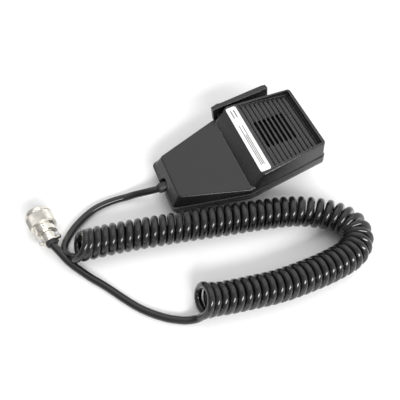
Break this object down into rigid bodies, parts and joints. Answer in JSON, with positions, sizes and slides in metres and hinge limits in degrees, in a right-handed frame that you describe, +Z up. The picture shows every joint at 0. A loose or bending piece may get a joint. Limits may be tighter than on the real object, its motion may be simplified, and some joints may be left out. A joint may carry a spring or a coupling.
{
  "type": "hand microphone",
  "caption": "Hand microphone with a ribbed grille, a side press-to-talk lever, a hanging stud and a curly cord that ends in a round screw-ring plug.",
  "frame": {"origin": "on the table, under the middle of the microphone's box, with its cord and plug left out", "axes": "+X along the microphone towards its head, +Z up, the press-to-talk lever on the +Y side"},
  "size_m": [0.2123, 0.1509, 0.0398],
  "materials": {
    "case_plastic": "satin black moulded plastic, finely textured",
    "label": "white satin strip, no lettering",
    "stud_metal": "turned metal",
    "steel": "bright zinc",
    "magnet_iron": "ground",
    "screen_cloth": "fine woven cloth",
    "soft_rubber": "matt black",
    "soft_foam": "open foam",
    "capsule_metal": "satin",
    "diaphragm_film": "thin film",
    "copper": "enamelled copper",
    "switch_plastic": "moulded",
    "plunger_plastic": "moulded",
    "board": "glass-fibre board",
    "wire_insulation": "thin insulation",
    "cord_jacket": "glossy black jacket",
    "plug_metal": "bright nickel plate",
    "insert_plastic": "moulded",
    "contact_brass": "plated"
  },
  "bodies": {
    "microphone": {"front_shell": "case_plastic", "rear_shell": "case_plastic", "case_screws": "steel", "label_strip": "label", "hang_stud": "stud_metal", "hang_stud_screw": "steel", "hang_stud_nut": "steel", "dust_screen": "screen_cloth", "cartridge_gasket": "soft_rubber", "cartridge_cover": "capsule_metal", "diaphragm": "diaphragm_film", "voice_coil": "copper", "pole_piece": "steel", "magnet": "magnet_iron", "yoke": "steel", "cartridge_case": "capsule_metal", "foam_pad": "soft_foam", "ptt_pivot_pin": "steel", "ptt_return_spring": "steel", "switch_body": "switch_plastic", "switch_board": "board", "board_screws": "steel", "cartridge_leads": "wire_insulation", "cord_grommet": "soft_rubber", "cord_inner_end": "cord_jacket", "cord_clamp": "steel", "cord_clamp_screws": "steel", "cord_conductors": "wire_insulation", "cord_lead_mic": "cord_jacket", "cord_coil": "cord_jacket", "cord_lead_plug": "cord_jacket", "plug_boot": "soft_rubber", "plug_cord_end": "cord_jacket", "plug_conductors": "wire_insulation", "plug_shell": "plug_metal", "plug_cord_clamp": "plug_metal", "plug_clamp_screws": "steel", "plug_insert": "insert_plastic", "plug_contacts": "contact_brass", "plug_set_screw": "steel", "plug_ring_clip": "steel"},
    "ptt_lever": {"ptt_lever": "case_plastic"},
    "switch_plunger": {"switch_plunger": "plunger_plastic"},
    "plug_lock_ring": {"plug_lock_ring": "plug_metal"}
  },
  "joints": [
    {"name": "ptt_press", "type": "hinge", "parent": "microphone", "child": "ptt_lever", "pos_m": [0.00579, 0.0248, 0.0225], "axis": [0.108, 0, -0.9942], "range_deg": [0, 6], "stiffness_Nm_per_rad": 0.3, "springref_deg": -8.59, "deforming": ["ptt_return_spring"]},
    {"name": "switch_travel", "type": "slide", "parent": "microphone", "child": "switch_plunger", "axis": [0, -1, 0], "range_m": [0, 0.0011]},
    {"name": "lock_ring_turn", "type": "hinge", "parent": "microphone", "child": "plug_lock_ring", "pos_m": [-0.13986, 0.00103, 0.00905], "axis": [-0.1564, 0.9877, 0], "continuous": true}
  ],
  "couplings": [
    {"joint": "switch_travel", "follows": "ptt_press", "m_per_rad": 0.01}
  ]
}
